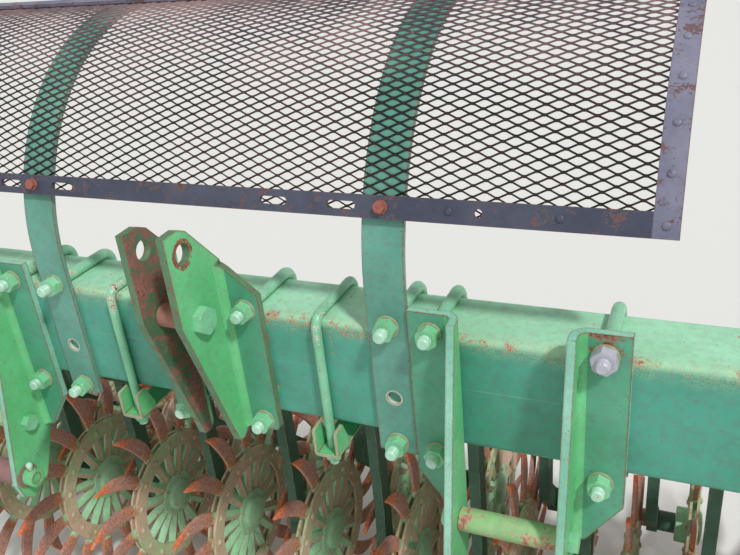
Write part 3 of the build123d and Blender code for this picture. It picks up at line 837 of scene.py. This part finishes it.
def hoop_rods():
    """Four thin U-bolts over the bar, their legs down to the saddles."""
    work = bmesh.new()
    offset = HOOP_RADIUS + SEAT_GAP
    bend = BAR_CORNER + offset
    low = SADDLE_BOTTOM - HOOP_END
    leg = -low + offset - bend
    for x in HOOP_XS:
        rod = BentRod(spot(x, -offset, low), (0, 0, 1), HOOP_RADIUS, 12)
        rod.run(leg).bend(bend, -pi / 2).run(BAR_DEPTH + 2 * offset - 2 * bend)
        rod.bend(bend, -pi / 2).run(leg)
        join(work, rod.close())
        for y in (-offset, BAR_DEPTH + offset):
            fastener(work, spot(x, y, SADDLE_BOTTOM), (0, 0, -1), HOOP_RADIUS, 19.0, 10.0,
                     HOOP_END, 0.4 + x, plain=True)
    piece("hoop_rods", work, "frame", "bolt_paint", ["hoop_paint", "washer_rust"],
          stands_for=["hoop_u_bolts"])


bracket_rods()
bracket_nuts()
hoop_rods()

# ---- Spacers, pins and bolts across the mast and the clevises


def plate_bolts():
    """Hexagon heads outside the mast's plates and nuts outside the clevises' plates."""
    work = bmesh.new()
    outside = MAST_HALF_GAP + PLATE
    join(work, hexagon(spot(TOP_X + outside, *MAST_SPACER), (1, 0, 0), 32.0, 12.0, 2.4, 0.35))
    join(work, hexagon(spot(TOP_X - outside, *MAST_SPACER), (-1, 0, 0), 32.0, 15.0, 2.5, 0.1))
    outside = CLEVIS_HALF_GAP + PLATE
    for side in (-1, 1):
        for hand in (-1, 1):
            face = spot(side * CLEVIS_X + hand * outside, *CLEVIS_SPACER)
            join(work, hexagon(face, (hand, 0, 0), 22.0, 11.0, 1.6, 0.3 * side + hand))
    piece("plate_bolts", work, "frame", "bolt_paint")


def spacer_tube(x, half, place):
    radius, ease = SPACER_RADIUS, 0.8
    profile = [(-half, 0), (-half, radius - ease), (-half + ease, radius),
               (half - ease, radius), (half, radius - ease), (half, 0)]
    return turned(profile, spot(x, *place), (1, 0, 0), 32)


def spacers():
    piece("mast_spacer_tube", spacer_tube(TOP_X, MAST_HALF_GAP - SEAT_GAP, MAST_SPACER),
          "frame", "rusty_steel", stands_for=["mast_spacer"])
    work = bmesh.new()
    for side in (-1, 1):
        join(work, spacer_tube(side * CLEVIS_X, CLEVIS_HALF_GAP - SEAT_GAP, CLEVIS_SPACER))
    piece("clevis_spacer_tubes", work, "frame", "worn_paint", stands_for=["clevis_spacers"])


def hitch_pins():
    """Each pin with its sleeve, recessed ends and an upright retaining pin at both ends."""
    work = bmesh.new()
    sleeve = [(-59, 0), (-59, 17.4), (-58.2, 18.25), (58.2, 18.25), (59, 17.4), (59, 0)]
    shank = [(-60, 0), (-60, 14.9), (60, 14.9), (60, 0)]
    end = [(69, 0), (69, 14.3), (90.4, 14.3), (92, 12.7), (92, 9.6), (91, 8.8), (88.5, 8.8),
           (88.5, 0)]
    retainer = [(0, 0), (0.6, 2.4), (2.4, 3.2), (37, 3.2), (38.5, 4.4), (41.5, 5.4), (45, 4.8),
                (47, 2.8), (47.6, 0)]
    collar_at, retainer_at, retainer_drop = 70.2, 82, 20
    for side in (-1, 1):
        middle = spot(side * CLEVIS_X, *HITCH_PIN)
        join(work, turned(sleeve, middle, (1, 0, 0), 32), 0)
        join(work, turned(shank, middle, (1, 0, 0), 24), 0)
        for hand in (-1, 1):
            join(work, turned(end, middle, (hand, 0, 0), 32), 1)
            collar = middle + Vector((hand * collar_at * MM, 0, 0))
            join(work, washer(collar, (hand, 0, 0), 19.5, 2.4), 0)
            foot = spot(side * CLEVIS_X + hand * retainer_at, HITCH_PIN[0],
                        HITCH_PIN[1] - retainer_drop)
            join(work, turned(retainer, foot, (0, 0, 1), 12), 2)
    piece("hitch_pins", work, "frame", "rusty_steel",
          ["sleeve_rust", "bracket_paint", "stud_end"], stands_for=["lower_hitch_pins"])


plate_bolts()
spacers()
hitch_pins()

# ---- Shield: expanded metal, rivets and bolts


def shield_place(radius, angle, x=0.0):
    """A place on the shield's curve; the angle runs up from the straps' upright stretch."""
    turn = radians(angle)
    return spot(x, SHIELD_RADIUS - STRAP_THICK / 2 - radius * cos(turn),
                SHIELD_BEND_Z + radius * sin(turn))


def shield_outwards(angle):
    turn = radians(angle)
    return Vector((0, -cos(turn), sin(turn)))


def expanded_metal():
    """Half-inch expanded metal: zigzag strands that lean, joined point to point."""
    columns, rows = 42, 60
    width, lean, thick = 1.5, 0.85, 0.95
    bond, flat = 0.6, 0.13
    # A strand over two diamonds: how far along it each point is, and to which side
    points = [(-flat, 1), (flat, 1), (1 - flat, -1), (1 + flat, -1), (2 - flat, 1)]
    half = SHIELD_HALF - 10.0
    start, end = SHIELD_START + 1.0, SHIELD_END - 1.0
    row_turn = (end - start) / rows
    rise = MESH_RADIUS * radians(row_turn) / 2 - bond
    step = half / columns
    work = bmesh.new()
    for row, sign in enumerate((1, -1)):
        angle = start + row_turn * (row + 0.5)
        pairs = []
        for along, side in points:
            pair = []
            for edge in (1, -1):
                off = degrees((rise * sign * side + edge * width / 2) / MESH_RADIUS)
                pair.append(work.verts.new(shield_place(MESH_RADIUS + edge * lean, angle + off,
                                                        TOP_X - half + step * along)))
            pairs.append(pair)
        for (a, b), (c, d) in zip(pairs, pairs[1:]):
            work.faces.new((a, b, d, c))
    bmesh.ops.spin(work, geom=whole(work), cent=(0, 0, 0), axis=(1, 0, 0), angle=0.0,
                   dvec=(2 * step * MM, 0, 0), steps=columns - 1, use_duplicate=True)
    merge(work, 1e-5)
    bmesh.ops.spin(work, geom=whole(work), axis=(1, 0, 0), use_duplicate=True,
                   cent=spot(0, SHIELD_RADIUS - STRAP_THICK / 2, SHIELD_BEND_Z),
                   angle=-radians(row_turn * (rows - 2)), steps=rows // 2 - 1)
    bmesh.ops.solidify(work, geom=work.faces[:], thickness=thick * MM)
    normals_out(work)
    piece("expanded_metal", work, "frame", "mesh_rust", stands_for=["shield_mesh"],
          smooth=False)


def shield_fixings():
    """Rivets along the end bars and the front bar, and bolts where the straps cross it."""
    heads, bolts = bmesh.new(), bmesh.new()
    dome = [(0, 4.6), (0.8, 4.2), (1.5, 2.8), (1.9, 0)]
    step = degrees(SHIELD_BAR / SHIELD_RADIUS)
    front = SHIELD_START + step / 2
    span = SHIELD_END - SHIELD_START - step
    count = 8
    places = [(TOP_X + side * (SHIELD_HALF - SHIELD_BAR / 2), front + span * number / (count - 1))
              for side in (-1, 1) for number in range(count)]
    places += [(x, front) for x in (-437.0, -344.0, 344.0, 461.5)]
    for x, angle in places:
        join(heads, turned(dome, shield_place(SHIELD_BAR_TOP, angle, x), shield_outwards(angle),
                           12))
    away, thick = shield_outwards(front), 1.4
    for x in STRAP_XS:
        place = shield_place(SHIELD_BAR_TOP, front, x)
        join(bolts, washer(place, away, 8.2, thick))
        join(bolts, hexagon(place + away * thick * MM, away, 12.7, 5.2, 1.0, 0.4))
    piece("shield_rivets", heads, "frame", "shield_bar_paint")
    piece("shield_bolts", bolts, "frame", "rusty_steel", ["bolt_rust"])


expanded_metal()
shield_fixings()

# ---- Toothed wheels

# Rows of a spoke and its tooth: distance out, distance ahead, half its width, its ridge
TOOTH_ROWS = [(44, 0, 8.8, 4.0), (70, 0, 9.6, 4.2), (100, 0, 10.2, 4.2), (124, 0, 10.8, 3.6),
              (136, 0, 11.2, 3.0), (152, -0.2, 13.1, 2.6), (169, 1.5, 13.9, 2.6),
              (185, 5.3, 13.5, 2.4), (200, 11.0, 11.9, 2.0), (215, 18.5, 9.1, 1.4),
              (228, 27.6, 5.1, 0.8), (239.8, 37.6, 0.8, 0.2)]
SPOKE_HALF = 3.0
RING_LOW, RING_HIGH = 3.3, 8.3
RING_INNER, RING_OUTER = 101.0, 131.0
# Turns about X, in degrees, that set some front wheels as the photo has them
WHEEL_TURNS = {1: 4.0, 2: -0.5, 3: -4.5, 4: 7.5, 5: 9.5, 6: -6.0, 8: 5.0, 9: -3.0}
# Puts a wheel as the CAD has it, with two tips on the ground
TOOTH_TURN = pi / TEETH - atan2(TIP_AHEAD, sqrt(WHEEL_RADIUS ** 2 - TIP_AHEAD ** 2))


def one_tooth():
    """A ridged spoke that widens to a hooked tooth, lying in the Y and Z plane."""
    work = bmesh.new()
    rows = []
    for number, (out, ahead, half, ridge) in enumerate(TOOTH_ROWS):
        before = TOOTH_ROWS[max(number - 1, 0)]
        after = TOOTH_ROWS[min(number + 1, len(TOOTH_ROWS) - 1)]
        along = Vector((after[0] - before[0], after[1] - before[1])).normalized()
        across = Vector((-along.y, along.x))
        row = []
        for share, x in ((-1, SPOKE_HALF), (0, SPOKE_HALF + ridge), (1, SPOKE_HALF),
                         (1, -SPOKE_HALF), (-1, -SPOKE_HALF)):
            row.append(work.verts.new((x * MM, (out + across.x * share * half) * MM,
                                       (ahead + across.y * share * half) * MM)))
        rows.append(row)
    for lower, upper in zip(rows, rows[1:]):
        for side in range(5):
            other = (side + 1) % 5
            face = work.faces.new((lower[side], lower[other], upper[other], upper[side]))
            # One flank of each spoke's ridge takes the tan finish, a painted shade for the flank
            # turned away from the light.
            face.material_index = 2 if side == 1 and lower[0].co.y < 0.130 else 0
    work.faces.new(rows[0])
    work.faces.new(list(reversed(rows[-1])))
    normals_out(work)
    front = [e for e in sharp_edges(work, 50)
             if min(v.co.x for v in e.verts) > 0 and max(v.co.y for v in e.verts) > 0.1]
    bevel_edges(work, front, 0.9)
    rotate(work, TOOTH_TURN, "X")
    return work


def domes(work, profile, direction, height, radius, count, start=0.0):
    """Domed heads in a circle round the wheel's axis, facing along it."""
    for number in range(count):
        turn = start + 2 * pi * number / count
        place = Vector((direction * height, cos(turn) * radius, sin(turn) * radius)) * MM
        join(work, turned(profile, place, (direction, 0, 0), 8), 1)


def wheel_master():
    """One wheel about its hub: toothed spokes, a riveted ring on both sides, capped hub."""
    work = one_tooth()
    bmesh.ops.spin(work, geom=whole(work), cent=(0, 0, 0), axis=(1, 0, 0),
                   angle=2 * pi * (TEETH - 1) / TEETH, steps=TEETH - 1, use_duplicate=True)
    hub = [(-28, 12), (-28, 29), (-26.5, 31), (-8, 31.4), (-8, 44.4), (-6.8, 45.6), (6.8, 45.6),
           (8, 44.4), (8, 33), (9.2, 31), (13, 29.5), (15.5, 26), (16, 17), (16.6, 15.5),
           (17, 13.5), (17, 0)]
    middle = Vector((0, 0, 0))
    join(work, turned(hub, middle, (1, 0, 0), 32), 0)
    domes(work, [(0, 4), (1.2, 3.6), (2.2, 2), (2.4, 0)], 1, 8, 39, 5)
    ease = 0.8
    ring = [(RING_LOW, RING_INNER), (RING_HIGH - ease, RING_INNER), (RING_HIGH, RING_INNER + ease),
            (RING_HIGH, RING_OUTER - ease), (RING_HIGH - ease, RING_OUTER),
            (RING_LOW, RING_OUTER), (RING_LOW, RING_INNER)]
    rivet = [(0, 6.2), (1.2, 5.8), (2.6, 4.2), (3.3, 2.0), (3.5, 0)]
    for direction in (1, -1):
        join(work, turned(ring, middle, (direction, 0, 0), 48), 1)
        domes(work, rivet, direction, RING_HIGH, (RING_INNER + RING_OUTER) / 2, TEETH, TOOTH_TURN)
    return work


def wheels():
    master = wheel_master()
    holder = bpy.data.meshes.new("wheel_master")
    master.to_mesh(holder)
    master.free()
    rows = [("front", FRONT_XS, FRONT_HUB, ["wheel_paint", "ring_front", "shaded_flank_front"]),
            ("rear", REAR_XS, REAR_HUB, ["wheel_rear", "ring_rear", "shaded_flank_rear"])]
    for row, xs, hub, looks in rows:
        for number, x in enumerate(xs, 1):
            work = bmesh.new()
            work.from_mesh(holder)
            if row == "front":
                rotate(work, radians(WHEEL_TURNS.get(number, 0.0)), "X")
            bmesh.ops.translate(work, vec=spot(x, *hub), verts=work.verts[:])
            name = f"{row}_wheel_{number}"
            piece(f"{row}_toothed_wheel_{number}", work, name, "wheel_paint", looks,
                  stands_for=[name])
    bpy.data.meshes.remove(holder)


wheels()

# ---- Weld beads


def bead(work, path, up, radius):
    """A weld bead along a closed path of places, each with its outward direction."""
    rings = []
    for number, (place, outwards) in enumerate(path):
        swell = radius * (1.0 if number % 2 else 0.8) * MM
        rings.append([work.verts.new(place + outwards * cos(turn * pi / 3) * swell
                                     + up * sin(turn * pi / 3) * swell) for turn in range(6)])
    for one, two in zip(rings, rings[1:] + rings[:1]):
        for side in range(6):
            other = (side + 1) % 6
            work.faces.new((one[side], one[other], two[other], two[side]))
    normals_out(work)


def round_path(low, high, corner, step):
    """Places in a plane round a rectangle with rounded corners, each with its outside."""
    middles = [(high[0] - corner, high[1] - corner, 0), (low[0] + corner, high[1] - corner, 90),
               (low[0] + corner, low[1] + corner, 180), (high[0] - corner, low[1] + corner, 270)]
    path = []
    for number, (a, b, start) in enumerate(middles):
        for part in range(4):
            angle = radians(start + 30 * part)
            path.append((a + corner * cos(angle), b + corner * sin(angle), angle))
        after = middles[(number + 1) % 4]
        angle = radians(start + 90)
        run = max(abs(after[0] - a), abs(after[1] - b))
        count = max(1, round(run / step))
        for part in range(1, count):
            share = part / count
            path.append((a + (after[0] - a) * share + corner * cos(angle),
                         b + (after[1] - b) * share + corner * sin(angle), angle))
    return path


def weld_beads():
    """Beads round the toolbar's end caps, and round the stands' legs at their feet."""
    caps = bmesh.new()
    outline = round_path((0, -BAR_HEIGHT), (BAR_DEPTH, 0), BAR_CORNER, 5.0)
    for x in (-BAR_HALF, BAR_HALF):
        path = [(spot(x, y, z), Vector((0, cos(a), sin(a)))) for y, z, a in outline]
        bead(caps, path, Vector((1, 0, 0)), 2.2)
    piece("cap_welds", caps, "frame", "toolbar_paint")
    foot_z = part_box("left_stand")[0].z / MM - bar_top / MM + FOOT_THICK
    for name, x in (("left_stand", -STAND_X), ("right_stand", STAND_X)):
        foot = bmesh.new()
        outline = round_path((x - LEG_HALF, STAND_Y - LEG_HALF),
                             (x + LEG_HALF, STAND_Y + LEG_HALF), 1.5, 4.5)
        path = [(spot(a, b, foot_z), Vector((cos(t), sin(t), 0))) for a, b, t in outline]
        bead(foot, path, Vector((0, 0, 1)), 3.2)
        piece(f"{name}_foot_weld", foot, name, "stand_paint")


weld_beads()

# ---- Springs and fixings of the arms


def arm_coils():
    """A torsion spring beside each arm, with a straight tail at both ends."""
    work = bmesh.new()
    turns, steps, wire, mean = 5, 16, 4.1, 22.2
    low, length = ARM_HALF + SEAT_GAP + wire, 44.0 - 2 * wire
    tail_length = 28
    total = turns * steps
    for arm_x in ARM_XS:
        coil = bmesh.new()
        start = spot(arm_x + low, SHAFT[0], SHAFT[1] + mean)
        first = circle(coil, start, (0, 1, 0), wire, 8)
        tail = bmesh.ops.duplicate(coil, geom=coil.verts[:] + coil.edges[:])
        tail_edges = [e for e in tail["geom"] if isinstance(e, bmesh.types.BMEdge)]
        edges = list({e for v in first for e in v.link_edges})
        bmesh.ops.spin(coil, geom=first + edges, cent=spot(arm_x, *SHAFT), axis=(1, 0, 0),
                       angle=-2 * pi * turns, dvec=(length / total * MM, 0, 0), steps=total)
        ends = new_verts(bmesh.ops.extrude_edge_only(coil, edges=tail_edges))
        bmesh.ops.translate(coil, vec=(0, -tail_length * MM, 0), verts=ends)
        merge(coil)
        bmesh.ops.holes_fill(coil, edges=[e for e in coil.edges if e.is_boundary], sides=8)
        normals_out(coil)
        join(work, coil)
    piece("arm_coils", work, "frame", "spring_steel", stands_for=["arm_springs"])


def spindle_nuts():
    """A nut on each spindle, on the far side of its arm from the wheel."""
    work = bmesh.new()
    for xs, hub in ((FRONT_XS, FRONT_HUB), (REAR_XS, REAR_HUB)):
        for x in xs:
            face = spot(x - ARM_OFFSET - ARM_HALF, *hub)
            join(work, hexagon(face, (-1, 0, 0), 27.0, 11.0, 1.8, 0.2))
            join(work, thread(face + Vector((-10.5 * MM, 0, 0)), (-1, 0, 0), 8.5, 6.0))
    piece("spindle_nuts", work, "frame", "rusty_steel")


def stand_pins():
    """A locking pin through each stand's socket, with a ring through its head."""
    work = bmesh.new()
    pin = [(-66, 0), (-65, 4.5), (-62, 6), (0, 6), (0, 10), (1, 11), (7, 11), (8, 10), (8, 0)]
    wire, ring_radius = 1.7, 16
    for side in (-1, 1):
        head = spot(side * STAND_X, STAND_Y - 28.9, -60)
        join(work, turned(pin, head, (0, -1, 0), 20))
        loop = bmesh.new()
        top = head + Vector((0, -4 * MM, -2 * MM))
        circle(loop, top, (1, 0, 0), wire, 8)
        bmesh.ops.spin(loop, geom=loop.verts[:] + loop.edges[:], axis=(0, 1, 0),
                       cent=top + Vector((0, 0, -ring_radius * MM)), angle=2 * pi,
                       steps=28, use_merge=True)
        merge(loop)
        normals_out(loop)
        join(work, loop)
    piece("stand_pins", work, "frame", "rusty_steel")


arm_coils()
spindle_nuts()
stand_pins()

# ---- Floor, lamps and camera


def floor():
    work = bmesh.new()
    bmesh.ops.create_grid(work, x_segments=1, y_segments=1, size=60.0)
    mesh = bpy.data.meshes.new("pale_floor")
    work.to_mesh(mesh)
    work.free()
    look = bpy.data.materials.new("pale_floor")
    look.use_nodes = True
    shader = look.node_tree.nodes["Principled BSDF"]
    shader.inputs["Base Color"].default_value = colour(222, 222, 218)
    shader.inputs["Roughness"].default_value = 0.9
    mesh.materials.append(look)
    made = bpy.data.objects.new("pale_floor", mesh)
    scene.collection.objects.link(made)


def lamps():
    """A white sky, a key light from the front right and a soft fill."""
    world = bpy.data.worlds.new("studio")
    world.use_nodes = True
    sky = world.node_tree.nodes["Background"]
    sky.inputs["Color"].default_value = (1.0, 1.0, 1.0, 1.0)
    sky.inputs["Strength"].default_value = 0.48
    scene.world = world
    for name, towards, power, spread in (("key", (-0.68, 0.47, -1.0), 2.3, 6.0),
                                         ("fill", (0.8, 0.6, -0.7), 0.35, 50.0)):
        light = bpy.data.lights.new(name, "SUN")
        light.energy = power
        light.angle = radians(spread)
        lamp = bpy.data.objects.new(name, light)
        lamp.rotation_mode = "QUATERNION"
        lamp.rotation_quaternion = Vector((0, 0, -1)).rotation_difference(Vector(towards))
        scene.collection.objects.link(lamp)


def camera():
    """The photograph's place and angle, from the bar's and brackets' straight edges."""
    right = Vector((0.91714, 0.38731, -0.09400))
    down = Vector((0.09510, -0.44172, -0.89210))
    ahead = Vector((-0.38704, 0.80924, -0.44195))
    lens = bpy.data.cameras.new("photo_camera")
    lens.sensor_width = 36.0
    lens.lens = 38.38
    lens.clip_end = 200.0
    view = bpy.data.objects.new("photo_camera", lens)
    turn = Matrix((right, -down, -ahead)).transposed().to_4x4()
    view.matrix_world = Matrix.Translation(spot(598.5, -734.0, 468.3)) @ turn
    scene.collection.objects.link(view)
    scene.camera = view


floor()
lamps()
camera()
scene.view_settings.view_transform = "Standard"
